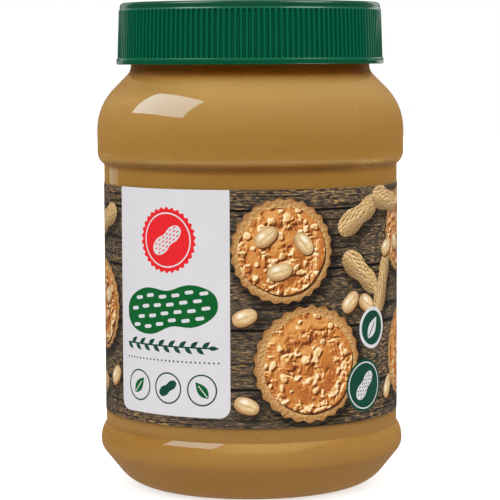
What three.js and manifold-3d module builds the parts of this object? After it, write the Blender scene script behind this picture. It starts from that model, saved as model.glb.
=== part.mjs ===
// A full jar of peanut butter: a clear blow-moulded jar, its contents, a screw lid
// with a ribbed skirt, and a label wrapped round the recessed panel.
// Millimetres, +Z up, the origin on the table under the jar's axis, the front towards -Y.

import * as THREE from 'three';
import { mergeVertices } from 'three/addons/utils/BufferGeometryUtils.js';
import Module from 'manifold-3d';

// Fineness of the round surfaces
const TURN_STEPS = 48;
const ARC_STEP = THREE.MathUtils.degToRad(16);

// Jar: foot and lower bulge
const FOOT_INNER_RADIUS = 29;
const FOOT_RADIUS = 33;
const PUSH_UP = 4;
const HEEL_ARC = 13.4;
const LOWER_SLOPE = THREE.MathUtils.degToRad(38.5);
const LOWER_RADIUS = 49.6;
const LOWER_ARC = 5.3;
const LOWER_LAND = 0.27;
const LOWER_LIP_ARC = 9;

// Jar: recessed label panel, upper bulge and shoulder
const PANEL_RADIUS = 47.85;
const PANEL_TOP = 104.9;
const UPPER_RADIUS = 50;
const UPPER_LIP_ARC = 4.9;
const SHOULDER_ARC = 19.2;
const SHOULDER_SLOPE = THREE.MathUtils.degToRad(44.7);

// Jar: neck and wall
const NECK_RADIUS = 38.9;
const NECK_FILLET = 4.3;
const NECK_START = 136.8;
const NECK_TOP = 154.9;
const WALL = 0.8;

// Contents
const FILL_HEIGHT = 141;
const FILL_GAP = 0.15;

// Label
const LABEL_BOTTOM = 24.9;
const LABEL_TOP = 98.9;
const LABEL_GAP = 0.05;
const LABEL_THICKNESS = 0.1;

// Lid
const LID_BOTTOM = 137.2;
const LID_TOP = 157;
const LID_UNDERSIDE = 155.2;
const LID_BORE = 40.8;
const LID_FLANGE_RADIUS = 43.5;
const LID_FLANGE_HEIGHT = 2;
const LID_BAND_RADIUS = 42.35;
const LID_CORNER = 1.8;
const LID_RECESS_RADIUS = 37;
const LID_RECESS_DEPTH = 0.5;

// Ribs of the lid's skirt: a flat ridge, then a flute
const RIBS = 150;
const RIB_TOP = 154.9;
const RIB_RADIUS_BOTTOM = 43.2;
const RIB_RADIUS_TOP = 42.65;
const RIB_DEPTH = 0.45;
const RIDGE_SHARE = 0.44;
const RIB_ROOTING = 0.15;
const RIB_SEAT_RADIUS = RIB_RADIUS_TOP - RIB_DEPTH - RIB_ROOTING;

const wasm = await Module();
wasm.setup();

// Points on an arc round (r, z), both ends included.
function arc(r, z, radius, from, to) {
  const steps = Math.max(1, Math.ceil(Math.abs(to - from) / ARC_STEP - 1e-9));
  const points = [];
  for (let i = 0; i <= steps; i += 1) {
    const angle = from + (to - from) * i / steps;
    points.push(new THREE.Vector2(r + radius * Math.cos(angle), z + radius * Math.sin(angle)));
  }
  return points;
}

// The jar's section from the middle of its base to the given height of its neck,
// set in from the outside by inset all along.
function wallProfile(inset, top) {
  const dome = (FOOT_INNER_RADIUS ** 2 + PUSH_UP ** 2) / (2 * PUSH_UP);
  const domeEnd = Math.acos((dome - PUSH_UP + inset) / (dome + inset));

  const flankReach = LOWER_RADIUS - FOOT_RADIUS - HEEL_ARC * Math.cos(LOWER_SLOPE)
    - LOWER_ARC * (1 - Math.cos(LOWER_SLOPE));
  const lowerHeight = HEEL_ARC * (1 - Math.sin(LOWER_SLOPE)) + flankReach / Math.tan(LOWER_SLOPE)
    + LOWER_ARC * Math.sin(LOWER_SLOPE);
  const lowerLip = Math.acos((PANEL_RADIUS - LOWER_RADIUS + LOWER_LIP_ARC - inset)
    / (LOWER_LIP_ARC - inset));

  const upperLip = Math.acos((PANEL_RADIUS - UPPER_RADIUS + UPPER_LIP_ARC - inset)
    / (UPPER_LIP_ARC - inset));
  const upperHeight = PANEL_TOP + Math.sqrt(UPPER_LIP_ARC ** 2
    - (PANEL_RADIUS - UPPER_RADIUS + UPPER_LIP_ARC) ** 2);

  const slopeReach = UPPER_RADIUS - NECK_RADIUS
    - (SHOULDER_ARC + NECK_FILLET) * (1 - Math.cos(SHOULDER_SLOPE));
  const shoulderHeight = NECK_START - slopeReach / Math.tan(SHOULDER_SLOPE)
    - (SHOULDER_ARC + NECK_FILLET) * Math.sin(SHOULDER_SLOPE);

  return [
    ...arc(0, PUSH_UP - dome, dome + inset, Math.PI / 2, Math.PI / 2 - domeEnd),
    ...arc(FOOT_RADIUS, HEEL_ARC, HEEL_ARC - inset, -Math.PI / 2, -LOWER_SLOPE),
    ...arc(LOWER_RADIUS - LOWER_ARC, lowerHeight, LOWER_ARC - inset, -LOWER_SLOPE, 0),
    ...arc(LOWER_RADIUS - LOWER_LIP_ARC, lowerHeight + LOWER_LAND, LOWER_LIP_ARC - inset, 0, lowerLip),
    ...arc(UPPER_RADIUS - UPPER_LIP_ARC, upperHeight, UPPER_LIP_ARC - inset, -upperLip, 0),
    ...arc(UPPER_RADIUS - SHOULDER_ARC, shoulderHeight, SHOULDER_ARC - inset, 0, SHOULDER_SLOPE),
    ...arc(NECK_RADIUS + NECK_FILLET, NECK_START, NECK_FILLET + inset, Math.PI + SHOULDER_SLOPE, Math.PI),
    new THREE.Vector2(NECK_RADIUS - inset, top),
  ];
}

// A turned solid from its section, with the turning axis along +Z.
function turned(profile) {
  const geometry = new THREE.LatheGeometry(profile, TURN_STEPS);
  geometry.rotateX(Math.PI / 2);
  return geometry;
}

function jarGeometry() {
  const outside = wallProfile(0, NECK_TOP);
  const inside = wallProfile(WALL, NECK_TOP).reverse();
  return turned([...outside, ...inside]);
}

function contentsGeometry() {
  const profile = wallProfile(WALL + FILL_GAP, FILL_HEIGHT);
  profile.push(new THREE.Vector2(0, FILL_HEIGHT));
  return turned(profile);
}

function labelGeometry() {
  const inner = PANEL_RADIUS + LABEL_GAP;
  const outer = inner + LABEL_THICKNESS;
  const corners = [[inner, LABEL_BOTTOM], [outer, LABEL_BOTTOM], [outer, LABEL_TOP], [inner, LABEL_TOP]];
  const profile = corners.map(([r, z]) => new THREE.Vector2(r, z));
  profile.push(profile[0].clone());
  return turned(profile);
}

// The lid without its ribs: a shallow cup, mouth down, with a flange round the mouth.
function lidShellGeometry() {
  const flangeTop = LID_BOTTOM + LID_FLANGE_HEIGHT;
  const cornerStart = LID_TOP - LID_CORNER;
  const point = (r, z) => new THREE.Vector2(r, z);
  return turned([
    point(0, LID_UNDERSIDE),
    point(LID_BORE, LID_UNDERSIDE),
    point(LID_BORE, LID_BOTTOM),
    point(LID_FLANGE_RADIUS, LID_BOTTOM),
    point(LID_FLANGE_RADIUS, flangeTop),
    point(RIB_SEAT_RADIUS, flangeTop),
    point(RIB_SEAT_RADIUS, RIB_TOP),
    point(LID_BAND_RADIUS, RIB_TOP),
    ...arc(LID_BAND_RADIUS - LID_CORNER, cornerStart, LID_CORNER, 0, Math.PI / 2),
    point(LID_RECESS_RADIUS, LID_TOP),
    point(LID_RECESS_RADIUS - LID_RECESS_DEPTH, LID_TOP - LID_RECESS_DEPTH),
    point(0, LID_TOP - LID_RECESS_DEPTH),
  ]);
}

// The ring of ribs, a little narrower at its top, let into the flange below and the band above.
function ribRingGeometry() {
  const pitch = 2 * Math.PI / RIBS;
  const root = RIB_RADIUS_BOTTOM - RIB_DEPTH;
  const places = [[0, RIB_RADIUS_BOTTOM], [RIDGE_SHARE, RIB_RADIUS_BOTTOM], [(1 + RIDGE_SHARE) / 2, root]];
  const outline = [];
  for (let rib = 0; rib < RIBS; rib += 1) {
    for (const [share, radius] of places) {
      const angle = (rib + share) * pitch;
      outline.push(new THREE.Vector2(radius * Math.cos(angle), radius * Math.sin(angle)));
    }
  }
  const shape = new THREE.Shape(outline);
  const bore = new THREE.Path().absarc(0, 0, (LID_BORE + RIB_SEAT_RADIUS) / 2, 0, 2 * Math.PI);
  shape.holes.push(new THREE.Path(bore.getSpacedPoints(TURN_STEPS).slice(1)));

  const bottom = LID_BOTTOM + LID_FLANGE_HEIGHT - RIB_ROOTING;
  const depth = RIB_TOP + RIB_ROOTING - bottom;
  const geometry = new THREE.ExtrudeGeometry(shape, { depth, steps: 1, bevelEnabled: false });
  const position = geometry.attributes.position;
  const taper = RIB_RADIUS_TOP / RIB_RADIUS_BOTTOM - 1;
  for (let i = 0; i < position.count; i += 1) {
    const scale = 1 + taper * position.getZ(i) / depth;
    position.setXY(i, position.getX(i) * scale, position.getY(i) * scale);
  }
  geometry.translate(0, 0, bottom);
  return geometry;
}

// A closed solid for joining, from a geometry whose shared corners are merged.
function solid(geometry) {
  const bare = geometry.clone();
  bare.deleteAttribute('normal');
  bare.deleteAttribute('uv');
  const merged = mergeVertices(bare);
  return new wasm.Manifold(new wasm.Mesh({
    numProp: 3,
    vertProperties: new Float32Array(merged.attributes.position.array),
    triVerts: new Uint32Array(merged.index.array),
  }));
}

function joined(first, second) {
  const mesh = solid(first).add(solid(second)).getMesh();
  const geometry = new THREE.BufferGeometry();
  geometry.setAttribute('position', new THREE.BufferAttribute(mesh.vertProperties, 3));
  geometry.setIndex(new THREE.BufferAttribute(mesh.triVerts, 1));
  geometry.computeVertexNormals();
  return geometry;
}

function piece(name, geometry, color, roughness) {
  const material = new THREE.MeshStandardMaterial({ color, roughness, metalness: 0 });
  const mesh = new THREE.Mesh(geometry, material);
  mesh.name = name;
  return mesh;
}

const peanutButterJar = new THREE.Group();
peanutButterJar.name = 'peanut_butter_jar';
peanutButterJar.add(
  piece('jar', jarGeometry(), 0xe9e4da, 0.08),
  piece('peanut_butter', contentsGeometry(), 0xb58e50, 0.55),
  piece('label', labelGeometry(), 0x3a2a1c, 0.35),
  piece('lid', joined(lidShellGeometry(), ribRingGeometry()), 0x0a5a3a, 0.32),
);

export default peanutButterJar;
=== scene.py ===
import math
import random
from dataclasses import dataclass

import bpy
import numpy as np
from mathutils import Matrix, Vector, geometry


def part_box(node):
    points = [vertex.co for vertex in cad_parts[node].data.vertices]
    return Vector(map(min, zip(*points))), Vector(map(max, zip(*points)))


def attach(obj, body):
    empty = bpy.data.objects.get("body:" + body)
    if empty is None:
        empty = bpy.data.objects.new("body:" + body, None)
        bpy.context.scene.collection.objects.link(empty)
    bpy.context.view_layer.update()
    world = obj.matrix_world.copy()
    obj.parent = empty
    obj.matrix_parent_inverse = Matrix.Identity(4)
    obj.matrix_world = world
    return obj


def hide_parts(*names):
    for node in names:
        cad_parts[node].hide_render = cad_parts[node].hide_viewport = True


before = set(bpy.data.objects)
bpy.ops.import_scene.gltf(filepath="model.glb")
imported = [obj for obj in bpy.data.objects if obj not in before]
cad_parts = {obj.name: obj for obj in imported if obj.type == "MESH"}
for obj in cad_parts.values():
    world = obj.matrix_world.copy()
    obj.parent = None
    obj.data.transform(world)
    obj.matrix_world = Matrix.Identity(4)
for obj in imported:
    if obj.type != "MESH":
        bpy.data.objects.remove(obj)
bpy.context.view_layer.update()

# A full jar of peanut butter: clear jar, contents, ribbed lid and a printed wrap label.
# Profiles and print are worked out in millimetres and turned into metres as each mesh is made.
# The camera and the light cards are placed in metres.
MM = 0.001
QUARTER = math.pi / 2

# Sizes read from the frame
jar_box = [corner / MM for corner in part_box("jar")]
fill_box = [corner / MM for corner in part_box("peanut_butter")]
label_box = [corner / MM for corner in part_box("label")]
lid_box = [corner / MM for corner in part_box("lid")]

# Jar section: the same arcs as the jar's solid, with small fillets at the label panel
UPPER_RADIUS = jar_box[1].x
NECK_TOP = jar_box[1].z
FOOT_INNER_RADIUS = 29
FOOT_RADIUS = 33
PUSH_UP = 4
HEEL_ARC = 13.4
LOWER_SLOPE = math.radians(38.5)
LOWER_RADIUS = UPPER_RADIUS - 0.4
LOWER_ARC = 5.3
LOWER_LAND = 0.27
LOWER_LIP_ARC = 9
PANEL_RADIUS = UPPER_RADIUS - 2.15
PANEL_TOP = 104.9
PANEL_FILLET_LOW = 0.3
PANEL_FILLET_HIGH = 0.9
LIP_LEAD = 0.2
UPPER_LIP_ARC = 4.9
SHOULDER_ARC = 19.2
SHOULDER_SLOPE = math.radians(44.7)
NECK_RADIUS = 38.9
NECK_FILLET = 4.3
NECK_START = 136.8
WALL = 0.8

# Contents: the paste reaches a little way into the wall, so that no air shows between them
FILL_INSET = 0.6
FILL_TOP = fill_box[1].z

# The paste's colour by height carries painted light and shade: paler on both lips and the shoulder as a
# painted sheen, darker as painted shade in the groove over the panel and, under the lid, at the neck
PASTE = (183, 137, 64)
PASTE_LIGHT_AND_SHADE = [(3, (188, 139, 64)), (12, (181, 133, 66)), (15.5, (186, 142, 77)), (18, (188, 142, 70)),
               (19.8, (192, 146, 78)), (20.4, (186, 142, 78)), (25, (187, 144, 82)), (30, PASTE),
               (103, PASTE), (104.4, (150, 99, 38)), (105.9, (156, 107, 44)), (107.2, (197, 153, 83)),
               (108.4, (186, 140, 68)), (111, PASTE), (117, (187, 142, 70)), (123.5, (191, 150, 81)),
               (129.5, (203, 165, 97)), (131.5, (208, 168, 99)), (133.1, (200, 148, 72)),
               (134.3, (163, 96, 8)), (135.5, (152, 90, 0)), (137, (178, 114, 4))]

# Flecks of skin: colour, cells to a metre, reach from the solid middle to the edge in cells, strength
FLECK, FLECK_CELLS, FLECK_REACH, FLECK_STRENGTH = (92, 52, 20), 600, (0.05, 0.24), 0.48

# Painted shade at the left of the lower bulge and of the shoulder: the factor on the paste's colour, the
# heights over which it sets in and ends, and how far to the left it is full
PASTE_LEFT_SHADE = (0.8, 0.72, 0.52, 1)
LEFT_SHADE_LOW = ((13, 17), (20, 22))
LEFT_SHADE_HIGH = ((125.5, 129), (131, 133.5))
LEFT_SHADE_REACH = (-14, -32)

# The groove's painted shade eased at its ends: the heights over which this sets in and ends, and how far out
# the ends lie
GROOVE = ((101, 102), (104.4, 105.2))
GROOVE_SIDES = (20, 36)

# The wall's neck: heights over which it turns hazy and its shine dark, a painted shade under the lid
NECK_HAZE = (132.5, 134.5)
NECK_SHINE_SHADE = (133, 135)

# Label
LABEL_RADIUS = label_box[1].x
LABEL_BOTTOM = label_box[0].z
LABEL_TOP = label_box[1].z
LABEL_THICKNESS = 0.08
LABEL_OVERLAP = 6
LABEL_LIFT = 0.1
HALF_TURN = math.pi * LABEL_RADIUS

# Print on the label, laid out one by one: middles, sizes and turns in degrees
SHEET_START = -HALF_TURN
SHEET_END = HALF_TURN + LABEL_OVERLAP
PANEL_LEFT = -48.8
PANEL_RIGHT = -6.5
PANEL_LOW = 28
PANEL_CORNER = 3.5
SEAL_HEIGHT = 83
SEAL_RADIUS = 10.4
PEANUT_ROW = 61.5
SPRIG_ROW = 49.8
RULE_HEIGHT = 45.2
BADGE_ROW = 36.6
BADGE_RADIUS = 5
BADGE_PITCH = 12
SIGN_WIDTH = 35
RULE_DOTS = 24
LOW_DISC = (40.5, 36)
HIGH_DISC = (44.5, 54)
BACK_PANEL = (117, 62)
BACK_TABLE = (108, 59)
PRINT_SEED = 7
BOARD_HEIGHT = 18.5
SHADOW_SHIFT = (1.1, -1.5)
SHADOW_SPREAD = 3.2
CRACKERS = [(10, 80, 16.5, 3), (19, 44.5, 18.5, 0), (67, 84, 14, 2), (70, 44, 15, 0),
            (-66, 60, 15, 2), (-100, 78, 15, 3), (-104, 42, 16, 0), (-139, 60, 15, 2)]
SHELL_PEANUTS = [(38, 90, 28), (39, 72, -38), (51, 68, 70), (54, 94, -12), (-62, 88, 20), (-84, 52, 62),
                 (-82, 92, -20), (-121, 88, 40), (-122, 34, -28), (-72, 33, 12), (84, 64, 65), (-146, 35, 15)]
LOOSE_KERNELS = [(-2, 59.5, 20), (34, 63, 40), (-1.5, 32, -20), (41.5, 62, -30), (55, 34, 60), (54, 79, 20),
                 (-54, 38, 40), (-85, 69, 130), (-118, 62, 10), (-121, 66, 80), (82, 92, 35), (-136, 89, 60)]

# Lid
LID_BOTTOM = lid_box[0].z
LID_TOP = lid_box[1].z
LID_FLANGE_RADIUS = lid_box[1].x
LID_FLANGE_TOP = LID_BOTTOM + 2
LID_UNDERSIDE = LID_TOP - 1.8
LID_BORE = LID_FLANGE_RADIUS - 2.7
LID_BAND_RADIUS = LID_FLANGE_RADIUS - 1.15
LID_CORNER = 1.25
LID_RECESS_RADIUS = 37
LID_RECESS = LID_TOP - 0.5
LID_EDGE = 0.35
LID_HIGHLIGHT_LINE = 0.1
RIBS = 150
RIB_TOP = 154.95
RIB_LEAN = 0.4
RIB_RADIUS_BOTTOM = LID_FLANGE_RADIUS - 0.3
RIB_RADIUS_TOP = LID_FLANGE_RADIUS - 0.85
RIB_PITCH = 2 * math.pi * RIB_RADIUS_BOTTOM / RIBS
FLUTE_TOP = RIB_TOP - RIB_LEAN
FLUTE_DEPTH = 0.95
FLUTE_HALF_WIDTH = 0.32 * RIB_PITCH
SKIRT_MIDDLE = LID_FLANGE_TOP + 7

# Camera: the photograph's frame is FRAME_PIXELS wide, and its eye is level with the lid's lower edge
FRAME_PIXELS = 500
FOCAL_PIXELS = 2183
SENSOR = 36
CAMERA_DISTANCE = 0.7155
CAMERA_HEIGHT = 0.1403
CAMERA_TILT = math.radians(5.12)
CAMERA_ROLL = math.radians(0.24)

# Light from all round, on matt surfaces and in reflections: up the sides, its drop overhead, and from below.
# Each names two directions, from -1 straight down to 1 straight up, and its strength at them.
FILL = ((0.05, 0.6, 0.35, 2.8), (0.68, 0.98, 1, 0.1), (-0.95, -0.48, 1.15, 0))
MIRROR = ((0, 0.75, 0.06, 0.25), (0.8, 1, 1, 0.4), (-1, 0, 0.15, 0))
FLOOR_HALF = 3000

# Cards that show only in reflections: middle, width and height, brightness, way of the back, colour
SHOULDER_WINDOW = ((-0.142, -0.047, 0.235), (0.148, 0.109), 6.4, (-0.87, -0.363, 0.333), (0.67, 0.87, 0.99))
GROOVE_BAR = ((-0.1657, 0.1099, 0.09175), (0.06, 0.0063), 0.6, (-0.768, 0.641, 0), (0.86, 1.1, 1))
LID_LEFT = ((-0.52, 0.61, 0.19), (0.25, 0.1), 0.35, (-0.65, 0.76, 0))
LID_RIGHT = ((0.65, 0.465, 0.19), (0.25, 0.1), 0.4, (0.81, 0.58, 0))
LID_BELOW = ((0.13, -0.16, 0.012), (0.3, 0.2), 6, (0, 0, -1))
LID_ABOVE = ((0, -0.1, 0.95), (1.6, 1.6), 0.2, (0, 0, 1))

# A warm backdrop of such cards, each larger than the last
BACKDROP_CARDS, BACKDROP_STEP, BACKDROP_LEVEL = 6, 0.01, 0.05
BACKDROP_PLACE, BACKDROP_COLOUR = (0, 0.6, 0.2), (1, 0.48, 0.08)
BACKDROP_SIZE, BACKDROP_GROWTH = (0.7, 0.5), (1.6, 1.5)

# Such cards mirrored at both ends of the lid: a high one, and a column of low ones with the heights they
# span and their brightness at the left and the right
LID_HIGH = ((0.418, -0.122, 0.72), (0.36, 0.4), 4, (0.57, -0.12, 0.81))
END_X, END_Y, END_WIDTH, END_BACK = 0.4, 0.69, 0.34, (0.5, 0.86, 0)
END_HEIGHTS = ((0, 0.143), (0.168, 0.18), (0.2, 0.5))
END_LEVELS = ((-1, 0.45), (1, 0.9))

# Level sheets that show only in reflections, in millimetres: far edge, near edge, brightness, colour, fades
HEEL_WINDOW = ([(-58, -46, 60), (-19, -68, 60)], [(-99.9, -56.5, 60), (-46.8, -98.3, 60)], 5.2,
               (0.78, 0.97, 1, 1))
HEEL_GLOW = ([(-50, -62, 61), (85, -22, 61)], [(-115, -215, 61), (95, -215, 61)], 2.35,
             (1, 0.82, 0.42, 1), (0.3, 0.8))

# Such sheets in rings under the upper lip: first and last angle, near radius, brightness, colour, fades
LIP_GLOWS = [(-90, 112, 71, 1.2, (0.35, 0.95, 0.9, 1), (0.17, 0.9)),
             (68, 118, 62, 3.4, (1, 0.66, 0.32, 1), (0.45, 0.4))]
LIP_GLOW_FAR, LIP_GLOW_HEIGHT, LIP_GLOW_POINTS = 130, 62, 23

# Fineness of the meshes
TURN_STEPS = 192
ARC_STEPS = 12
PRINT_GRID = 1.3


# Mesh helpers

def new_object(name, data):
    made = bpy.data.objects.new(name, data)
    bpy.context.scene.collection.objects.link(made)
    return made


def mesh_object(name, vertices, faces, sharp_degrees=40):
    """A smooth-shaded mesh object from vertices in millimetres."""
    mesh = bpy.data.meshes.new(name)
    mesh.from_pydata([Vector(v) * MM for v in vertices], [], faces)
    mesh.shade_smooth()
    mesh.set_sharp_from_angle(angle=math.radians(sharp_degrees))
    return new_object(name, mesh)


def arc(r, z, radius, start, end, steps=ARC_STEPS):
    """Points (r, z) on an arc, both ends included."""
    angles = np.linspace(start, end, steps + 1)
    return [(r + radius * math.cos(a), z + radius * math.sin(a)) for a in angles]


def on_ring(radius, angle, z):
    """A point of the object at an angle counted from the front (-Y) towards +X."""
    return (radius * math.sin(angle), -radius * math.cos(angle), z)


def bridge(low, high):
    """Faces between two rings of vertex numbers. A ring of one vertex is a pole, and a ring may
    hold several vertices for each one of the other, the last of each group in line with it."""
    if len(low) == 1:
        return [(low[0], high[k], high[k - 1]) for k in range(len(high))]
    if len(high) == 1:
        return [(low[k - 1], low[k], high[0]) for k in range(len(low))]
    sectors = min(len(low), len(high))
    low_step = len(low) // sectors
    high_step = len(high) // sectors
    faces = []
    for k in range(sectors):
        low_span = [low[i] for i in range(k * low_step - 1, (k + 1) * low_step)]
        high_span = [high[i] for i in range(k * high_step - 1, (k + 1) * high_step)]
        faces.append(low_span + high_span[::-1])
    return faces


def stacked(name, rows, sharp_degrees=40):
    """A closed mesh from rows of points, each a ring or a pole, in order from the axis round to it."""
    vertices = []
    rings = []
    for row in rows:
        rings.append(range(len(vertices), len(vertices) + len(row)))
        vertices += row
    faces = []
    for low, high in zip(rings, rings[1:]):
        faces += bridge(low, high)
    return mesh_object(name, vertices, faces, sharp_degrees)


def turned(name, profile):
    """A mesh turned round Z from a profile that starts and ends on the axis."""
    rows = []
    for r, z in profile:
        count = TURN_STEPS if r > 1e-6 else 1
        rows.append([on_ring(r, 2 * math.pi * k / TURN_STEPS, z) for k in range(count)])
    return stacked(name, rows)


# Jar and contents

def lip(centre_r, centre_z, radius, fillet, inset, side):
    """A bulge's rounded edge and the fillet from it into the label panel, with a short straight lead at
    each end that keeps the walls beyond flat in shading. side is -1 for a panel below and 1 for one above."""
    fillet_r = PANEL_RADIUS + fillet
    drop = math.sqrt((radius + fillet) ** 2 - (fillet_r - centre_r) ** 2)
    turn = math.atan2(drop, fillet_r - centre_r)
    edge = arc(centre_r, centre_z, radius - inset, 0, side * turn)
    hollow = arc(fillet_r, centre_z + side * drop, fillet + inset, side * (turn + math.pi), side * math.pi)
    bulge_lead = (centre_r + radius - inset, centre_z - side * LIP_LEAD)
    panel_lead = (PANEL_RADIUS - inset, centre_z + side * (drop + LIP_LEAD))
    points = [bulge_lead] + edge + hollow[1:] + [panel_lead]
    return points if side > 0 else points[::-1]


def wall_profile(inset, top):
    """The jar's section from the middle of its base up its neck, set in from the outside by inset."""
    dome = (FOOT_INNER_RADIUS ** 2 + PUSH_UP ** 2) / (2 * PUSH_UP)
    dome_end = math.acos((dome - PUSH_UP + inset) / (dome + inset))

    flank = LOWER_RADIUS - FOOT_RADIUS - HEEL_ARC * math.cos(LOWER_SLOPE)
    flank -= LOWER_ARC * (1 - math.cos(LOWER_SLOPE))
    lower_z = HEEL_ARC * (1 - math.sin(LOWER_SLOPE)) + flank / math.tan(LOWER_SLOPE)
    lower_z += LOWER_ARC * math.sin(LOWER_SLOPE)

    rise = math.sqrt(UPPER_LIP_ARC ** 2 - (PANEL_RADIUS - UPPER_RADIUS + UPPER_LIP_ARC) ** 2)
    upper_z = PANEL_TOP + rise

    bends = SHOULDER_ARC + NECK_FILLET
    slope = UPPER_RADIUS - NECK_RADIUS - bends * (1 - math.cos(SHOULDER_SLOPE))
    shoulder_z = NECK_START - slope / math.tan(SHOULDER_SLOPE) - bends * math.sin(SHOULDER_SLOPE)

    points = arc(0, PUSH_UP - dome, dome + inset, QUARTER, QUARTER - dome_end)
    points += arc(FOOT_RADIUS, HEEL_ARC, HEEL_ARC - inset, -QUARTER, -LOWER_SLOPE)
    points += arc(LOWER_RADIUS - LOWER_ARC, lower_z, LOWER_ARC - inset, -LOWER_SLOPE, 0)
    lip_r, lip_z = LOWER_RADIUS - LOWER_LIP_ARC, lower_z + LOWER_LAND
    points += lip(lip_r, lip_z, LOWER_LIP_ARC, PANEL_FILLET_LOW, inset, 1)
    points += lip(UPPER_RADIUS - UPPER_LIP_ARC, upper_z, UPPER_LIP_ARC, PANEL_FILLET_HIGH, inset, -1)
    points += arc(UPPER_RADIUS - SHOULDER_ARC, shoulder_z, SHOULDER_ARC - inset, 0, SHOULDER_SLOPE)
    neck_r = NECK_RADIUS + NECK_FILLET
    points += arc(neck_r, NECK_START, NECK_FILLET + inset, math.pi + SHOULDER_SLOPE, math.pi)
    points.append((NECK_RADIUS - inset, top))
    return points


def make_jar():
    return turned("clear_jar", wall_profile(0, NECK_TOP) + wall_profile(WALL, NECK_TOP)[::-1])


def make_contents():
    return turned("peanut_butter_fill", wall_profile(FILL_INSET, FILL_TOP) + [(0, FILL_TOP)])


# Lid

def flute_cut(across, below_top):
    """How far the skirt is cut in, across from a flute's middle line and below its arched top end."""
    past_end = max(0, FLUTE_HALF_WIDTH - below_top)
    distance = math.hypot(across, past_end) / FLUTE_HALF_WIDTH
    if distance < 1:
        return FLUTE_DEPTH * (1 - distance ** 4)
    return 0


def rib_places():
    """Places across one rib and its flute, from just past the last ridge's middle to the next one's."""
    side = [FLUTE_HALF_WIDTH * share for share in (0.3, 0.55, 0.78, 0.92, 1.04)]
    return [-place for place in reversed(side)] + [0] + side + [RIB_PITCH / 2]


def skirt_row(radius, z, cut=True):
    """A ring of the lid's skirt with every flute's section, cut in or left round."""
    places = rib_places()
    row = []
    for rib in range(RIBS):
        for across in places:
            depth = flute_cut(abs(across), FLUTE_TOP - z) if cut else 0
            row.append(on_ring(radius - depth, (rib + across / RIB_PITCH) * 2 * math.pi / RIBS, z))
    return row


def plain_row(radius, z):
    """A ring with one vertex for each rib, in the middle of the ridge after it."""
    return [on_ring(radius, (rib + 0.5) * 2 * math.pi / RIBS, z) for rib in range(RIBS)]


def ridge_radius(z):
    """The skirt's radius between its flutes: tapered upwards, then leaning in to the band."""
    share = (z - LID_FLANGE_TOP) / (RIB_TOP - LID_FLANGE_TOP)
    tapered = RIB_RADIUS_BOTTOM + (RIB_RADIUS_TOP - RIB_RADIUS_BOTTOM) * share
    lean = max(0, 1 - (RIB_TOP - z) / RIB_LEAN)
    return tapered + (LID_BAND_RADIUS - RIB_RADIUS_TOP) * lean


def make_lid():
    rows = [[(0, 0, LID_UNDERSIDE)], plain_row(LID_BORE, LID_UNDERSIDE), plain_row(LID_BORE, LID_BOTTOM)]
    flange = arc(LID_FLANGE_RADIUS - LID_EDGE, LID_BOTTOM + LID_EDGE, LID_EDGE, -QUARTER, 0, 4)
    flange += arc(LID_FLANGE_RADIUS - LID_EDGE, LID_FLANGE_TOP - LID_EDGE, LID_EDGE, 0, QUARTER, 4)
    rows += [skirt_row(r, z, cut=False) for r, z in flange]

    quarters = (1, 0.75, 0.5, 0.25)
    heights = [LID_FLANGE_TOP, SKIRT_MIDDLE]
    heights += [FLUTE_TOP - FLUTE_HALF_WIDTH * share for share in quarters]
    heights += [RIB_TOP - RIB_LEAN * share for share in quarters] + [RIB_TOP]
    rows += [skirt_row(ridge_radius(z), z) for z in heights]

    band = arc(LID_BAND_RADIUS - LID_CORNER, LID_TOP - LID_CORNER, LID_CORNER, 0, QUARTER, 8)
    rows += [skirt_row(r, z, cut=False) for r, z in band]

    recess = [(LID_RECESS_RADIUS + LID_EDGE, LID_TOP), (LID_RECESS_RADIUS, LID_TOP - 0.3 * LID_EDGE),
              (LID_RECESS_RADIUS - LID_EDGE, LID_RECESS + 0.3 * LID_EDGE),
              (LID_RECESS_RADIUS - 2 * LID_EDGE, LID_RECESS)]
    recess += [(LID_RECESS_RADIUS * share, LID_RECESS) for share in (0.6, 0.2)]
    rows += [plain_row(r, z) for r, z in recess]
    rows.append([(0, 0, LID_RECESS)])
    return stacked("ribbed_lid", rows, 45)


# Printed label: shapes on the unrolled sheet, u round the jar from the front to the right and v up

@dataclass
class Patch:
    """A printed shape: its ink, its outline, and the middle, reach and turn of its own coordinates.
    shadow says how dark a shadow the pictured thing throws on the boards round it."""
    ink: str
    outline: list
    middle: tuple = (0, 0)
    reach: float = 1
    turn: float = 0
    shadow: float = 0


def placed(points, middle, turn=0):
    c, s = math.cos(turn), math.sin(turn)
    return [(middle[0] + c * x - s * y, middle[1] + s * x + c * y) for x, y in points]


def printed(ink, outline, middle, turn=0):
    """A list of one plain patch, its outline placed on the sheet."""
    return [Patch(ink, placed(outline, middle, turn))]


def full_turn(steps):
    return [2 * math.pi * k / steps for k in range(steps)]


def disc_outline(radius, waves=0, depth=0, steps=72):
    """A circle, or with waves a scalloped one."""
    points = []
    for a in full_turn(max(steps, 8 * waves)):
        r = radius * (1 - depth * (0.5 + 0.5 * math.cos(waves * a)))
        points.append((r * math.cos(a), r * math.sin(a)))
    return points


def uneven_outline(radius, depth, draws, steps=110):
    """A round shape with a soft, uneven edge."""
    phases = [draws.uniform(0, 2 * math.pi) for _ in range(7)]
    points = []
    for a in full_turn(steps):
        swell = sum(math.sin((n + 2) * a + phase) / math.sqrt(n + 2) for n, phase in enumerate(phases))
        r = radius * (1 + depth * swell)
        points.append((r * math.cos(a), r * math.sin(a)))
    return points


def peanut_half(x, waist):
    """Half the width of a peanut at x from -1 to 1 along it: two lobes with a waist between them."""
    lobe = 1 - waist * math.exp(-((x - 0.05) / 0.33) ** 2) - 0.06 * x
    return lobe * max(0, 1 - x * x) ** 0.4 / 2


def peanut_outline(length, width, waist=0.27, steps=56):
    """A peanut in its shell, lying along x."""
    points = []
    for a in full_turn(steps):
        x = math.cos(a)
        points.append((length / 2 * x, math.copysign(width * peanut_half(x, waist), math.sin(a))))
    return points


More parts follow.
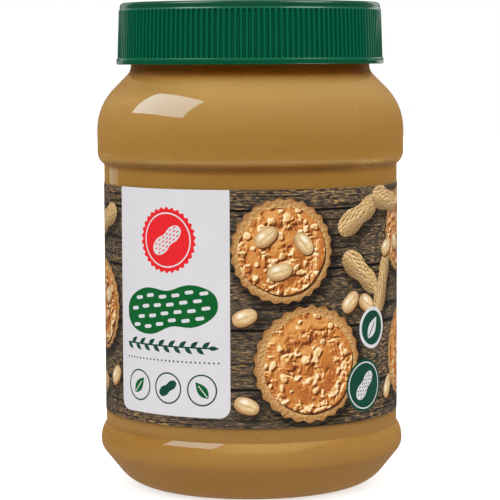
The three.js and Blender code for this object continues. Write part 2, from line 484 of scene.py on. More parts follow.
def leaf_outline(length, width, steps=12):
    """A pointed leaf from its stalk at the origin along x."""
    shares = [k / steps for k in range(steps + 1)]
    edge = [(length * t, width / 2 * math.sin(math.pi * t ** 0.85)) for t in shares]
    return [(x, -y) for x, y in edge] + edge[-2:0:-1]


def box_outline(width, height, corner, steps=6):
    """A rectangle with round corners."""
    points = []
    for quarter, (sx, sy) in enumerate(((1, 1), (-1, 1), (-1, -1), (1, -1))):
        x, y = sx * (width / 2 - corner), sy * (height / 2 - corner)
        points += arc(x, y, corner, quarter * QUARTER, (quarter + 1) * QUARTER, steps)
    return points


def kernel(middle, turn, length=8):
    """A split peanut kernel lying on something, with its shadow line."""
    shape = peanut_outline(length, 0.66 * length, 0.02)
    under = (middle[0] + 0.35, middle[1] - 0.45)
    return [Patch("contact", placed(shape, under, turn)),
            Patch("kernel", placed(shape, middle, turn), middle, length / 2, turn)]


def shell_peanut(middle, degrees, length=20):
    """A peanut in its shell lying on the boards."""
    turn = math.radians(degrees)
    outline = placed(peanut_outline(length, 0.44 * length), middle, turn)
    return [Patch("shell", outline, middle, length / 2, turn, 0.85)]


def cracker(middle, radius, kernels, draws):
    """A round cracker with an uneven layer of spread and a few split kernels."""
    turn = draws.uniform(0, 1)
    layer = uneven_outline(0.83 * radius, 0.022, draws)
    under = (middle[0] + 0.5, middle[1] - 0.7)
    rim = placed(disc_outline(radius, 26, 0.045), middle, turn)
    patches = [Patch("cracker", rim, middle, radius, 0, 0.95),
               Patch("contact", placed(layer, under)),
               Patch("spread", placed(layer, middle), middle, radius)]
    for k in range(kernels):
        way = 2 * math.pi * (k + draws.uniform(-0.15, 0.15)) / kernels + 0.6
        out = radius * draws.uniform(0.36, 0.5)
        spot = (middle[0] + out * math.cos(way), middle[1] + out * math.sin(way))
        patches += kernel(spot, draws.uniform(-1, 1))
    return patches


def picture(draws):
    """The food picture on dark boards, all round the jar."""
    patches = []
    for u, v, radius, kernels in CRACKERS:
        patches += cracker((u, v), radius, kernels, draws)
    for u, v, degrees in SHELL_PEANUTS:
        patches += shell_peanut((u, v), degrees)
    for u, v, degrees in LOOSE_KERNELS:
        loose = kernel((u, v), math.radians(degrees))
        loose[1].shadow = 0.7
        patches += loose
    return patches


def peanut_sign(middle, degrees, length, ink, dimple_ink):
    """A plain drawn peanut with rows of dimples along it."""
    turn = math.radians(degrees)
    width = 0.46 * length
    signs = printed(ink, peanut_outline(length, width, 0.3), middle, turn)
    for row, share in enumerate((-0.66, -0.22, 0.22, 0.66)):
        for k in range(6):
            x = 0.28 * (k - 2.5) + 0.14 * (row % 2 - 0.5)
            spot = (length / 2 * x, share * width * peanut_half(x, 0.3))
            dash = placed(box_outline(0.085 * length, 0.032 * length, 0.016 * length, 3), spot)
            signs += printed(dimple_ink, dash, middle, turn)
    return signs


def sprig(middle, width, ink, pairs=8, leaf=3.3):
    """A straight stem with pairs of leaves, pointing right."""
    left = middle[0] - width / 2
    signs = printed(ink, box_outline(width, 0.5, 0.2, 2), middle)
    pitch = (width - leaf) / pairs
    for k in range(pairs):
        for side in (-1, 1):
            stalk = (left + pitch * (k + 0.25 + 0.25 * side), middle[1])
            signs += printed(ink, leaf_outline(leaf, 1.45), stalk, side * math.radians(38))
    signs += printed(ink, leaf_outline(leaf, 1.45), (left + width - leaf, middle[1]))
    return signs


def ring_sign(middle, radius, line, ink, inside):
    """A round outline."""
    return printed(ink, disc_outline(radius), middle) + printed(inside, disc_outline(radius - line), middle)


def leaf_sign(middle, size, degrees, ink, rib_ink):
    """One leaf with its middle rib, centred on middle."""
    turn = math.radians(degrees)
    stalk = placed([(-size / 2, 0)], middle, turn)[0]
    rib = placed([(-0.08 * size, 0)], middle, turn)[0]
    leaf = printed(ink, leaf_outline(size, 0.5 * size), stalk, turn)
    return leaf + printed(rib_ink, box_outline(0.7 * size, 0.05 * size, 0.02 * size, 1), rib, turn)


def front_panel():
    """The white panel at the left of the front with its plain signs."""
    middle_u = (PANEL_LEFT + PANEL_RIGHT) / 2
    middle_v = (PANEL_LOW + LABEL_TOP) / 2
    height = LABEL_TOP - PANEL_LOW
    panel = box_outline(PANEL_RIGHT - PANEL_LEFT, height, PANEL_CORNER)
    squared = [(x, height / 2 if y > 0 else y) for x, y in panel]
    signs = printed("paper", squared, (middle_u, middle_v))

    seal = (middle_u, SEAL_HEIGHT)
    signs += printed("red", disc_outline(SEAL_RADIUS, 30, 0.07), seal)
    signs += ring_sign(seal, 0.83 * SEAL_RADIUS, 0.45, "paper", "red")
    signs += peanut_sign(seal, 40, 1.2 * SEAL_RADIUS, "paper", "red")

    signs += peanut_sign((middle_u, PEANUT_ROW), 8, SIGN_WIDTH, "green", "paper")
    signs += sprig((middle_u, SPRIG_ROW), SIGN_WIDTH, "dark_green")
    for k in range(RULE_DOTS):
        spot = (middle_u + SIGN_WIDTH * (k / (RULE_DOTS - 1) - 0.5), RULE_HEIGHT)
        signs += printed("dark_green", disc_outline(0.32, steps=12), spot)

    spots = [(middle_u + BADGE_PITCH * side, BADGE_ROW) for side in (-1, 0, 1)]
    for spot in spots:
        signs += ring_sign(spot, BADGE_RADIUS, 0.5, "dark_green", "paper")
    signs += leaf_sign(spots[0], 6.6, 50, "green", "paper")
    signs += printed("dark_green", peanut_outline(7.4, 3.4, 0.3), spots[1], math.radians(35))
    signs += leaf_sign(spots[2], 6.6, 130, "green", "paper")
    return signs


def front_discs():
    """Two round signs low at the right of the front."""
    signs = printed("dark_green", disc_outline(8.4), LOW_DISC)
    signs += ring_sign(LOW_DISC, 7.5, 0.4, "paper", "dark_green")
    signs += peanut_sign(LOW_DISC, 50, 10.5, "paper", "dark_green")
    signs += ring_sign(HIGH_DISC, 6.6, 1.1, "paper", "dark_green")
    signs += leaf_sign(HIGH_DISC, 8, 55, "paper", "dark_green")
    return signs


def back_panel():
    """A white panel at the back right with a green heading bar and an empty ruled table."""
    u, v = BACK_PANEL
    signs = printed("paper", box_outline(58, 64, 3), (u, v))
    signs += printed("green", box_outline(52, 8, 1.5), (u, v + 25))
    signs += leaf_sign((u - 21, v + 25), 6, 30, "paper", "green")
    signs += printed("dark_green", box_outline(34, 40, 0.8), BACK_TABLE)
    signs += printed("paper", box_outline(33, 39, 0.5), BACK_TABLE)
    for row in range(7):
        line = (BACK_TABLE[0], BACK_TABLE[1] + 14 - 4.8 * row)
        signs += printed("dark_green", box_outline(30, 0.35, 0.1, 1), line)
    signs += peanut_sign((u + 18, v + 6), 90, 16, "green", "paper")
    signs += ring_sign((u + 18, v - 14), 6, 0.6, "dark_green", "paper")
    signs += leaf_sign((u + 18, v - 14), 8, 60, "green", "paper")
    return signs


def divided(outline):
    """The outline with its long edges cut up, so that the print follows the jar's round."""
    points = []
    for (x0, y0), (x1, y1) in zip(outline, outline[1:] + outline[:1]):
        parts = max(1, math.ceil(math.hypot(x1 - x0, y1 - y0) / PRINT_GRID))
        points += [(x0 + (x1 - x0) * k / parts, y0 + (y1 - y0) * k / parts) for k in range(parts)]
    return points


def sheet_mesh(patches):
    """The sheet cut along every outline, each counter-clockwise: its points, its triangles and the
    topmost patch of each. The first patch is the sheet itself."""
    points = []
    faces = []
    for patch in patches:
        outline = divided(patch.outline)
        faces.append(list(range(len(points), len(points) + len(outline))))
        points += outline
    width, height = SHEET_END - SHEET_START, LABEL_TOP - LABEL_BOTTOM
    columns, rows = round(width / PRINT_GRID), round(height / PRINT_GRID)
    for i in range(columns + 1):
        for j in range(rows + 1):
            points.append((SHEET_START + width * i / columns, LABEL_BOTTOM + height * j / rows))
    cut = geometry.delaunay_2d_cdt([Vector(p) for p in points], [], faces, 0, 1e-4, True)
    triangles = []
    owners = []
    for triangle, covering in zip(cut[2], cut[5]):
        if 0 in covering:
            triangles.append(tuple(triangle))
            owners.append(max(covering))
    return np.array([tuple(p) for p in cut[0]]), triangles, owners


def shade_on_boards(points, patches):
    """How dark each point lies in the soft shadows of the pictured things, light from the upper left."""
    dark = np.zeros(len(points))
    for patch in patches:
        if not patch.shadow:
            continue
        middle = np.array(patch.middle)
        edge = np.array(patch.outline) - middle
        away = points - middle - SHADOW_SHIFT
        edge_way = np.arctan2(edge[:, 1], edge[:, 0])
        edge_reach = np.hypot(edge[:, 0], edge[:, 1])
        reach = np.interp(np.arctan2(away[:, 1], away[:, 0]), edge_way, edge_reach, period=2 * math.pi)
        share = np.clip(1 - (np.hypot(away[:, 0], away[:, 1]) - reach) / SHADOW_SPREAD, 0, 1)
        dark = np.maximum(dark, patch.shadow * share * share * (3 - 2 * share))
    return dark


def wrapped(point, depth):
    """A sheet point on the jar, depth under the label's face; the end of the sheet lies over its start."""
    u, v = point
    lap = min(max((u - HALF_TURN + LABEL_OVERLAP) / LABEL_OVERLAP, 0), 1)
    return on_ring(LABEL_RADIUS + LABEL_LIFT * lap - depth, u / LABEL_RADIUS, v)


def rim_edges(triangles):
    """The directed edges that only one triangle has."""
    edges = set()
    for a, b, c in triangles:
        edges |= {(a, b), (b, c), (c, a)}
    return [edge for edge in edges if edge[::-1] not in edges]


def make_label():
    draws = random.Random(PRINT_SEED)
    middle = ((SHEET_START + SHEET_END) / 2, (LABEL_BOTTOM + LABEL_TOP) / 2)
    whole = placed(box_outline(SHEET_END - SHEET_START, LABEL_TOP - LABEL_BOTTOM, 0.01, 1), middle)
    patches = [Patch("boards", whole)]
    patches += picture(draws) + front_panel() + front_discs() + back_panel()
    points, triangles, owners = sheet_mesh(patches)

    count = len(points)
    vertices = [wrapped(p, 0) for p in points] + [wrapped(p, LABEL_THICKNESS) for p in points]
    faces = triangles + [(c + count, b + count, a + count) for a, b, c in triangles]
    faces += [(b, a, a + count, b + count) for a, b in rim_edges(triangles)]
    label = mesh_object("printed_label", vertices, faces)

    inks = sorted({patch.ink for patch in patches})
    for ink in inks:
        label.data.materials.append(make_ink(ink))
    backing = inks.index("paper")
    ink_of = [inks.index(patches[owner].ink) for owner in owners]
    label.data.polygons.foreach_set("material_index", ink_of + [backing] * (len(faces) - len(ink_of)))
    draw_coordinates(label.data, points, triangles, [patches[owner] for owner in owners])
    shade = label.data.attributes.new("shade", "FLOAT", "POINT")
    shade.data.foreach_set("value", np.tile(shade_on_boards(points, patches), 2))
    return label


def draw_coordinates(mesh, points, triangles, owners):
    """Two maps for the inks: the sheet's own millimetres, and each patch's own turned coordinates."""
    sheet = mesh.uv_layers.new(name="sheet")
    motif = mesh.uv_layers.new(name="motif")
    on_sheet = np.zeros((len(mesh.loops), 2))
    in_patch = np.zeros((len(mesh.loops), 2))
    loop = 0
    for triangle, patch in zip(triangles, owners):
        c, s = math.cos(patch.turn), math.sin(patch.turn)
        for corner in triangle:
            x, y = points[corner] - np.array(patch.middle)
            on_sheet[loop] = points[corner]
            in_patch[loop] = ((c * x + s * y) / patch.reach, (c * y - s * x) / patch.reach)
            loop += 1
    sheet.data.foreach_set("uv", on_sheet.ravel())
    motif.data.foreach_set("uv", in_patch.ravel())


# Material helpers

def new_material(name):
    """A new node material, its node tree and its Principled shader."""
    material = bpy.data.materials.new(name)
    material.use_nodes = True
    tree = material.node_tree
    return material, tree, tree.nodes["Principled BSDF"]


def connect(tree, socket, value):
    """Links a socket to another one, or sets it to a value."""
    if isinstance(value, bpy.types.NodeSocket):
        tree.links.new(value, socket)
    else:
        socket.default_value = value


def add(tree, kind, inputs=None, **settings):
    """A node of that kind with its settings; inputs maps a socket's name or number to a value or a socket."""
    made = tree.nodes.new("ShaderNode" + kind)
    for name, value in settings.items():
        setattr(made, name, value)
    for key, value in (inputs or {}).items():
        connect(tree, made.inputs[key], value)
    return made


def feed(tree, shader, **inputs):
    """Sets or links the shader's sockets; an underscore in a name stands for a space."""
    for name, value in inputs.items():
        connect(tree, shader.inputs[name.replace("_", " ")], value)


def shown(red, green, blue):
    """A colour given as it shows on screen, 0 to 255, as the linear colour that shaders take."""
    parts = [part / 255 for part in (red, green, blue)]
    return tuple(p / 12.92 if p <= 0.04045 else ((p + 0.055) / 1.055) ** 2.4 for p in parts) + (1,)


def ramp(tree, factor, stops):
    """A colour ramp's colour from stops, each a place and a colour as it shows on screen."""
    node = add(tree, "ValToRGB", {0: factor})
    elements = node.color_ramp.elements
    while len(elements) < len(stops):
        elements.new(0.5)
    for element, (place, colour) in zip(elements, stops):
        element.position = place
        element.color = shown(*colour)
    return node.outputs["Color"]


def mix(tree, factor, first, second, how="MIX"):
    """The colour between first and second."""
    node = add(tree, "Mix", {0: factor, 6: first, 7: second}, data_type="RGBA", blend_type=how)
    return node.outputs[2]


def calc(tree, how, first, second=0, clamp=False):
    """One step of arithmetic."""
    return add(tree, "Math", {0: first, 1: second}, operation=how, use_clamp=clamp).outputs[0]


def times(tree, first, second):
    return calc(tree, "MULTIPLY", first, second)


def fade(tree, value, low, high, out_low=0, out_high=1):
    """value spread from low..high over out_low..out_high, held at both ends."""
    node = add(tree, "MapRange", {0: value, 1: low, 2: high, 3: out_low, 4: out_high})
    return node.outputs[0]


def span(tree, height, heights, full=1, after=0):
    """Rises from 0 to full over the first pair of heights and changes to after over the second."""
    rise, fall = heights
    return times(tree, fade(tree, height, *rise), fade(tree, height, *fall, full, after))


def length(tree, place):
    return add(tree, "VectorMath", {0: place}, operation="LENGTH").outputs["Value"]


def object_place(tree, scale=(1, 1, 1)):
    """The place on the object in its own metres, each axis times scale."""
    place = add(tree, "TexCoord").outputs["Object"]
    return add(tree, "Mapping", {"Vector": place, "Scale": scale}).outputs[0]


def axes(tree, place):
    return add(tree, "SeparateXYZ", {0: place}).outputs


def millimetres(tree):
    """The place on the object in millimetres, axis by axis."""
    return axes(tree, object_place(tree, (1 / MM, 1 / MM, 1 / MM)))


def noise(tree, place, scale, detail=2, roughness=0.5, distortion=0):
    node = add(tree, "TexNoise", {"Vector": place, "Scale": scale, "Detail": detail,
                                  "Roughness": roughness, "Distortion": distortion})
    return node.outputs["Fac"]


def bump(tree, height, strength, distance):
    return add(tree, "Bump", {"Height": height, "Strength": strength, "Distance": distance}).outputs[0]


# Materials of the jar, its contents and the lid

def clear_plastic():
    """Clear blow-moulded plastic, its neck hazy and its shine there tinted dark, painted shade under the
    lid. Shadow rays pass straight through it, so that light reaches the contents."""
    material, tree, shader = new_material("clear_plastic")
    place = object_place(tree)
    waves = noise(tree, place, 60, 1)
    height = millimetres(tree)[2]
    neck = fade(tree, height, *NECK_HAZE, 0, 0.35)
    haze = calc(tree, "ADD", neck, fade(tree, noise(tree, place, 25, 3), 0.3, 0.7, 0.02, 0.05))
    # Painted shade: the shine at the neck tinted dark brown, as under the lid
    shaded_shine = mix(tree, fade(tree, height, *NECK_SHINE_SHADE), (1, 1, 1, 1), (0.25, 0.2, 0.05, 1))
    feed(tree, shader, Base_Color=(1, 1, 1, 1), Roughness=haze, IOR=1.5, Transmission_Weight=1,
         Specular_Tint=shaded_shine, Normal=bump(tree, waves, 0.05, 0.0005))
    path = add(tree, "LightPath")
    through = add(tree, "BsdfTransparent", {"Color": (1, 1, 1, 1)})
    shadow = path.outputs["Is Shadow Ray"]
    both = add(tree, "MixShader", {0: shadow, 1: shader.outputs[0], 2: through.outputs[0]})
    tree.links.new(both.outputs[0], tree.nodes["Material Output"].inputs["Surface"])
    return material


def nut_paste():
    """Peanut butter against the wall: tan, faintly clouded, with fine dark flecks of skin, and with light
    and shade painted into its colour by height and at the left.
    """
    material, tree, shader = new_material("nut_paste")
    place = object_place(tree)
    across, _, height = millimetres(tree)
    share = calc(tree, "DIVIDE", height, FILL_TOP)
    # Painted light on the lips and shoulder, painted shade in the groove and at the neck, by height
    level = ramp(tree, share, [(z / FILL_TOP, colour) for z, colour in PASTE_LIGHT_AND_SHADE])
    # Painted shade at the left of the lower bulge and of the shoulder
    shaded_heights = calc(tree, "ADD", span(tree, height, LEFT_SHADE_HIGH, 1, 0.3), span(tree, height, LEFT_SHADE_LOW, 0.7))
    left = fade(tree, across, *LEFT_SHADE_REACH)
    tone = mix(tree, times(tree, left, shaded_heights), level, PASTE_LEFT_SHADE, "MULTIPLY")
    # The groove's painted shade eased back to the plain paste colour towards its ends
    sides = fade(tree, calc(tree, "ABSOLUTE", across), *GROOVE_SIDES, 0, 0.6)
    tone = mix(tree, times(tree, sides, span(tree, height, GROOVE)), tone, shown(*PASTE))
    clouds = noise(tree, object_place(tree, (1, 1, 2.5)), 40, 5, 0.6, 0.4)
    clouded = mix(tree, fade(tree, clouds, 0.35, 0.75, 0, 0.08), tone, shown(226, 186, 118))
    cells = add(tree, "TexVoronoi", {"Vector": place, "Scale": FLECK_CELLS, "Randomness": 1})
    chosen = add(tree, "SeparateColor", {0: cells.outputs["Color"]}).outputs[0]
    rare = fade(tree, chosen, 0.72, 1, 0, FLECK_STRENGTH)
    dot = fade(tree, cells.outputs["Distance"], *FLECK_REACH, 1, 0)
    colour = mix(tree, times(tree, rare, dot), clouded, shown(*FLECK))
    feed(tree, shader, Base_Color=colour, Roughness=0.6, Specular_IOR_Level=0,
         Normal=bump(tree, clouds, 0.08, 0.001))
    return material


def lid_plastic():
    """Green moulded plastic with a faint satin grain, darker on its flange and band; its ribs and lines along
    its edges are painted lighter, as painted highlights.
    """
    material, tree, shader = new_material("lid_plastic")
    place = object_place(tree)
    height = calc(tree, "DIVIDE", millimetres(tree)[2], LID_TOP)
    # The ribs' tone and the edges' tone are painted highlights, lighter than the flange and band
    flange, lit_ribs, edges, band = (0, 70, 43), (0, 92, 64), (14, 102, 74), (0, 68, 42)
    tones = [(LID_BOTTOM, lit_ribs), (LID_BOTTOM + LID_EDGE, flange), (LID_FLANGE_TOP - 1, flange),
             (LID_FLANGE_TOP - LID_EDGE, lit_ribs), (LID_FLANGE_TOP - LID_HIGHLIGHT_LINE, edges), (LID_FLANGE_TOP, edges),
             (LID_FLANGE_TOP + LID_HIGHLIGHT_LINE, lit_ribs), (FLUTE_TOP - LID_HIGHLIGHT_LINE, lit_ribs), (FLUTE_TOP, edges),
             (RIB_TOP, edges), (RIB_TOP + LID_HIGHLIGHT_LINE, band)]
    tone = ramp(tree, height, [(z / LID_TOP, colour) for z, colour in tones])
    clouds = noise(tree, place, 40, 3)
    colour = mix(tree, fade(tree, clouds, 0.3, 0.7, 0, 0.12), tone, shown(0, 104, 72))
    grain = noise(tree, place, 2200, 2)
    feed(tree, shader, Base_Color=colour, Roughness=fade(tree, clouds, 0.3, 0.7, 0.11, 0.15),
         Normal=bump(tree, grain, 0.1, 0.0001))
    return material


# Inks of the label: each gives a colour, of the pictured food and boards or a plain one

def map_place(tree, name, shift=(0, 0, 0), scale=(1, 1, 1)):
    """A place on one of the label's two maps, moved by shift and then each axis times scale."""
    place = add(tree, "UVMap", uv_map=name).outputs[0]
    moved = add(tree, "VectorMath", {0: place, 1: shift}, operation="ADD").outputs[0]
    return add(tree, "VectorMath", {0: moved, 1: scale}, operation="MULTIPLY").outputs[0]


def plain_ink(first, second):
    """A maker of one colour with the faint mottling of print."""
    def colour(tree):
        mottle = noise(tree, object_place(tree), 160, 4, 0.6)
        return ramp(tree, mottle, [(0.35, first), (0.65, second)])
    return colour


def boards_ink(tree):
    """Dark weathered boards with their grain round the jar: golden flecks, cracks, gaps between boards."""
    across, up, _ = axes(tree, map_place(tree, "sheet"))
    height = calc(tree, "DIVIDE", up, BOARD_HEIGHT)
    board = calc(tree, "FLOOR", height)
    chance = add(tree, "TexWhiteNoise", {"W": board}, noise_dimensions="1D").outputs[0]
    slid = calc(tree, "ADD", across, times(tree, chance, 400))
    place = add(tree, "CombineXYZ", {0: slid, 1: up}).outputs[0]

    def streaks(along, over, detail):
        stretched = add(tree, "VectorMath", {0: place, 1: (along, over, 1)}, operation="MULTIPLY").outputs[0]
        return noise(tree, stretched, 1, detail, 0.68, 0.3)

    grain = ramp(tree, streaks(0.42, 2.1, 6), [(0.4, (26, 26, 28)), (0.49, (82, 72, 60)),
                                               (0.56, (150, 118, 78)), (0.66, (220, 174, 110))])
    worn = fade(tree, streaks(0.03, 0.12, 3), 0.35, 0.6, 0, 0.5)
    greyed = mix(tree, worn, grain, shown(68, 64, 60))
    cracks = fade(tree, streaks(0.02, 0.9, 3), 0.4, 0.45, 1, 0)
    cracked = mix(tree, times(tree, cracks, 0.8), greyed, shown(17, 13, 11))
    edge = calc(tree, "ABSOLUTE", calc(tree, "SUBTRACT", calc(tree, "FRACT", height), 0.5))
    gapped = mix(tree, fade(tree, edge, 0.47, 0.485), cracked, shown(12, 9, 8))
    shade = add(tree, "Attribute", attribute_name="shade").outputs["Fac"]
    return mix(tree, times(tree, shade, 0.85), gapped, shown(12, 9, 8))


def relief_light(tree, height, shift, gain):
    """Light and shade of a height that a maker gives for a shift: 0.5 is flat, above faces the light."""
    slope = calc(tree, "SUBTRACT", height((0, 0, 0)), height(shift))
    return calc(tree, "ADD", 0.5, times(tree, slope, gain), clamp=True)


def spread_ink(tree):
    """Crunchy spread, knifed round in a swirl, with pale bits of nut."""

    def bits(shift):
        place = map_place(tree, "sheet", shift)
        bend = add(tree, "TexNoise", {"Vector": place, "Scale": 0.4, "Detail": 0}).outputs["Color"]
        pull = {0: bend, 1: (1.8, 1.8, 0), 2: place}
        pulled = add(tree, "VectorMath", pull, operation="MULTIPLY_ADD").outputs[0]
        cells = add(tree, "TexVoronoi", {"Vector": pulled, "Scale": 0.36})
        draw = add(tree, "SeparateColor", {0: cells.outputs["Color"]})
        reach = calc(tree, "ADD", 0.3, times(tree, draw.outputs[1], 0.28))
        near = fade(tree, cells.outputs["Distance"], times(tree, reach, 0.6), reach, 1, 0)
        return times(tree, near, fade(tree, draw.outputs[0], 0.4, 0.42))

    def height(shift):
        motif = map_place(tree, "motif", tuple(part / 15 for part in shift))
        ripple = noise(tree, map_place(tree, "sheet", shift), 0.28, 5, 0.62, 0.6)
        x, y, _ = axes(tree, motif)
        way = calc(tree, "ARCTAN2", y, x)
        out = length(tree, motif)
        bend = calc(tree, "ADD", way, times(tree, ripple, 9))
        turns = calc(tree, "ADD", times(tree, out, 13), bend)
        swirl = times(tree, calc(tree, "SINE", turns), 0.1)
        lumps = times(tree, bits(shift), 0.22)
        return calc(tree, "ADD", calc(tree, "ADD", ripple, swirl), lumps)

    light = relief_light(tree, height, (-0.45, 0.5, 0), 3)
    paste = ramp(tree, light, [(0.05, (96, 42, 12)), (0.28, (160, 84, 30)), (0.5, (200, 122, 54)),
                               (0.68, (224, 158, 84)), (0.84, (242, 198, 132)), (0.97, (253, 232, 190))])
    pale = ramp(tree, light, [(0.1, (150, 92, 40)), (0.5, (226, 176, 108)), (0.85, (252, 226, 176))])
    return mix(tree, bits((0, 0, 0)), paste, pale)


def cracker_ink(tree):
    """A baked cracker, browner towards its edge."""
    out = length(tree, map_place(tree, "motif"))

    def height(shift):
        return noise(tree, map_place(tree, "sheet", shift), 0.9, 4, 0.6)

    light = relief_light(tree, height, (-0.25, 0.3, 0), 1.3)
    crumb = ramp(tree, light, [(0.2, (140, 88, 38)), (0.5, (198, 148, 84)), (0.8, (236, 202, 148))])
    return mix(tree, fade(tree, out, 0.86, 1, 0, 0.75), crumb, shown(140, 82, 34))


def shell_ink(tree):
    """A peanut's shell: pale, with a net of ridges, lit from above."""
    y = axes(tree, map_place(tree, "motif"))[1]

    def height(shift):
        place = map_place(tree, "motif", shift, (5.2, 10, 1))
        cells = {"Vector": place, "Scale": 1, "Randomness": 0.7}
        net = add(tree, "TexVoronoi", cells, feature="DISTANCE_TO_EDGE")
        return fade(tree, net.outputs["Distance"], 0.02, 0.3, 0.3, 0)

    light = relief_light(tree, height, (-0.02, 0.035, 0), 1.6)
    net = ramp(tree, light, [(0.15, (128, 88, 44)), (0.5, (208, 168, 110)), (0.85, (244, 216, 166))])
    rounded = fade(tree, y, -0.42, 0.05, 0.85, 0)
    return mix(tree, rounded, net, shown(92, 58, 26))


def kernel_ink(tree):
    """A split kernel: a cream dome with a groove along it, browner towards its edge."""
    x, y, _ = axes(tree, map_place(tree, "motif"))
    spots = noise(tree, map_place(tree, "sheet"), 0.8, 3)
    cream = ramp(tree, spots, [(0.35, (224, 190, 136)), (0.65, (240, 214, 166))])
    rounded = length(tree, map_place(tree, "motif", (0, -0.1, 0), (1, 1.75, 0)))
    edged = mix(tree, fade(tree, rounded, 0.55, 1.15, 0, 0.85), cream, shown(168, 112, 54))
    groove = times(tree, fade(tree, calc(tree, "ABSOLUTE", y), 0, 0.09, 0.6, 0),
                  fade(tree, calc(tree, "ABSOLUTE", x), 0.5, 0.8, 1, 0))
    split = mix(tree, groove, edged, shown(172, 120, 66))
    shine = length(tree, map_place(tree, "motif", (0.25, -0.26, 0), (1, 1.8, 0)))
    return mix(tree, fade(tree, shine, 0.1, 0.45, 0.75, 0), split, shown(255, 248, 228))


INKS = {
    "boards": boards_ink,
    "spread": spread_ink,
    "cracker": cracker_ink,
    "shell": shell_ink,
    "kernel": kernel_ink,
    "contact": plain_ink((74, 40, 16), (88, 48, 20)),
    "paper": plain_ink((214, 212, 214), (217, 215, 217)),
    "red": plain_ink((228, 28, 36), (234, 32, 40)),
    "green": plain_ink((0, 94, 38), (2, 100, 44)),
    "dark_green": plain_ink((14, 70, 50), (18, 76, 56)),
}


def make_ink(name):
    """The material of one ink: its colour on the satin face of the printed film."""
    material, tree, shader = new_material("ink_" + name)
    grain = noise(tree, object_place(tree), 900, 2)
    feed(tree, shader, Base_Color=INKS[name](tree), Roughness=fade(tree, grain, 0.3, 0.7, 0.3, 0.4),
         Specular_IOR_Level=0.4, Normal=bump(tree, grain, 0.04, 0.0001))
    return material


# Stage, light and camera

def add_camera():
    camera = new_object("camera", bpy.data.cameras.new("camera"))
    camera.data.sensor_width = SENSOR
    camera.data.lens = FOCAL_PIXELS / FRAME_PIXELS * SENSOR
    camera.location = (0, -CAMERA_DISTANCE, CAMERA_HEIGHT)
    camera.rotation_euler = (QUARTER - CAMERA_TILT, CAMERA_ROLL, 0)
    bpy.context.scene.camera = camera


def mirrored_only(tree):
    """1 for a light seen in a reflection, 0 for one that would shine in through the clear wall."""
    path = add(tree, "LightPath")
    within = calc(tree, "ADD", path.outputs["Is Transmission Ray"], path.outputs["Is Diffuse Ray"])
    return calc(tree, "SUBTRACT", 1, within, clamp=True)


def shine_on(light, piece):
    """Lets a light show only as a reflection on one piece."""
    light.visible_camera = light.visible_diffuse = light.visible_transmission = False
    light.light_linking.receiver_collection = bpy.data.collections.new("lit_piece")
    light.light_linking.receiver_collection.objects.link(piece)


def add_card(piece, place, size, level, back, colour=(1, 1, 1)):
    """A bright rectangle that shows only as a reflection on one piece. back is the way its back points."""
    light = bpy.data.lights.new("card", "AREA")
    light.shape = "RECTANGLE"
    light.size, light.size_y = size
    light.energy = level * math.pi * size[0] * size[1]
    light.color = colour
    light.use_nodes = True
    tree = light.node_tree
    feed(tree, tree.nodes["Emission"], Strength=mirrored_only(tree))
    card = new_object("card", light)
    card.location = place
    card.rotation_euler = Vector(back).to_track_quat("Z", "Y").to_euler()
    shine_on(card, piece)


def add_reflector(piece, far, near, level, colour, soft=None):
    """A bright level sheet between two edges, lists of points from left to right, that shows only as a
    reflection on one piece. It faces down if the far edge lies behind the near one, and else up. soft
    gives the shares of its width and depth over which it fades out to both sides and to the near edge."""
    count = len(far)
    quads = [(k, k + 1, count + k + 1, count + k) for k in range(count - 1)]
    reflector = mesh_object("reflector", far + near, quads)
    material, tree, shader = new_material("reflector")
    behind = add(tree, "NewGeometry").outputs["Backfacing"]
    strength = times(tree, mirrored_only(tree), fade(tree, behind, 0, 1, level, 0))
    if soft:
        corners = [(corner % count / (count - 1), corner < count) for quad in quads for corner in quad]
        spread = reflector.data.uv_layers.new(name="spread")
        spread.data.foreach_set("uv", np.ravel(corners).astype(float))
        across, away, _ = axes(tree, add(tree, "UVMap", uv_map="spread").outputs[0])
        for place, nought, full in ((across, 0, soft[0]), (across, 1, 1 - soft[0]), (away, 0, soft[1])):
            strength = times(tree, strength, fade(tree, place, nought, full))
    feed(tree, shader, Base_Color=(0, 0, 0, 1), Specular_IOR_Level=0, Emission_Color=colour,
         Emission_Strength=strength)
    reflector.data.materials.append(material)
    reflector.visible_shadow = False
    shine_on(reflector, piece)


def add_floor():
    corners = [(FLOOR_HALF * x, FLOOR_HALF * y, 0) for x, y in ((-1, -1), (1, -1), (1, 1), (-1, 1))]
    floor = mesh_object("floor", corners, [(0, 1, 2, 3)])
    material, tree, shader = new_material("floor")
    feed(tree, shader, Base_Color=(0.5, 0.5, 0.5, 1), Roughness=0.8, Specular_IOR_Level=0,
         Emission_Color=(1, 1, 1, 1), Emission_Strength=0.6)
    floor.data.materials.append(material)
    floor.visible_diffuse = floor.visible_glossy = False
    floor.visible_transmission = floor.visible_shadow = False


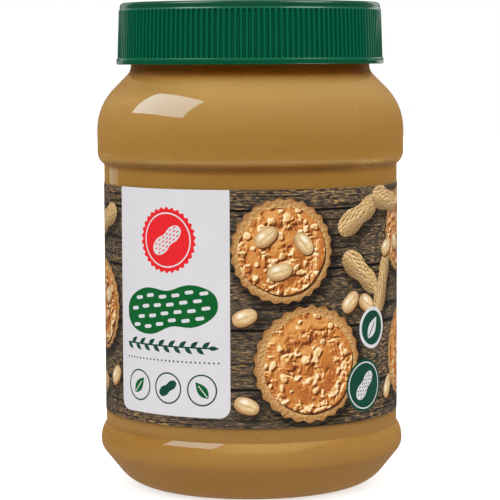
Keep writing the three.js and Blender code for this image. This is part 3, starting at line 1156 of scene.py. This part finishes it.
def add_world():
    """White all round for the eye, a soft fill from a ring half way up the sky, dim sides in reflections."""
    world = bpy.data.worlds.new("studio")
    world.use_nodes = True
    tree = world.node_tree
    up = axes(tree, add(tree, "TexCoord").outputs["Generated"])[2]

    def strength(sides, overhead, below):
        above = times(tree, fade(tree, up, *sides), fade(tree, up, *overhead))
        return calc(tree, "ADD", above, fade(tree, up, *below))

    rays = add(tree, "LightPath").outputs
    seen = mix(tree, rays["Is Camera Ray"], strength(*FILL), (1, 1, 1, 1))
    reflected = calc(tree, "SUBTRACT", rays["Is Glossy Ray"], rays["Is Transmission Ray"], clamp=True)
    colour = mix(tree, reflected, seen, strength(*MIRROR))
    tree.links.new(colour, tree.nodes["Background"].inputs["Color"])
    bpy.context.scene.world = world


def light_jar(jar):
    """The reflections on the clear wall."""
    add_card(jar, *SHOULDER_WINDOW)
    add_card(jar, *GROOVE_BAR)
    x, y, z = BACKDROP_PLACE
    for k in range(BACKDROP_CARDS):
        size = [side * growth ** k for side, growth in zip(BACKDROP_SIZE, BACKDROP_GROWTH)]
        add_card(jar, (x, y + BACKDROP_STEP * k, z), size, BACKDROP_LEVEL, (0, 1, 0), BACKDROP_COLOUR)
    add_reflector(jar, *HEEL_WINDOW)
    add_reflector(jar, *HEEL_GLOW)
    for start, end, near, level, colour, soft in LIP_GLOWS:
        ring = np.radians(np.linspace(start, end, LIP_GLOW_POINTS))
        edges = [[on_ring(radius, a, LIP_GLOW_HEIGHT) for a in ring] for radius in (LIP_GLOW_FAR, near)]
        add_reflector(jar, *edges, level, colour, soft)


def light_lid(lid):
    """The reflections on the lid."""
    for side, level in END_LEVELS:
        flip = Vector((side, 1, 1))
        for low, high in END_HEIGHTS:
            place = Vector((END_X, END_Y, (low + high) / 2))
            add_card(lid, flip * place, (END_WIDTH, high - low), level, flip * Vector(END_BACK))
        place, size, brightness, back = LID_HIGH
        add_card(lid, flip * Vector(place), size, brightness, flip * Vector(back))
    for card in (LID_LEFT, LID_RIGHT, LID_BELOW, LID_ABOVE):
        add_card(lid, *card)


# The whole: each piece replaces its node, then the stage and the light

jar = make_jar()
contents = make_contents()
lid = make_lid()
label = make_label()
jar.data.materials.append(clear_plastic())
contents.data.materials.append(nut_paste())
lid.data.materials.append(lid_plastic())
for piece, node, slot in ((jar, "jar", "clear_jar"), (contents, "peanut_butter", "peanut_butter"),
                          (label, "label", "label_print"), (lid, "lid", "lid_plastic")):
    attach(piece, "root")
    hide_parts(node)

add_camera()
add_world()
add_floor()
light_jar(jar)
light_lid(lid)
bpy.context.scene.view_settings.view_transform = "Standard"
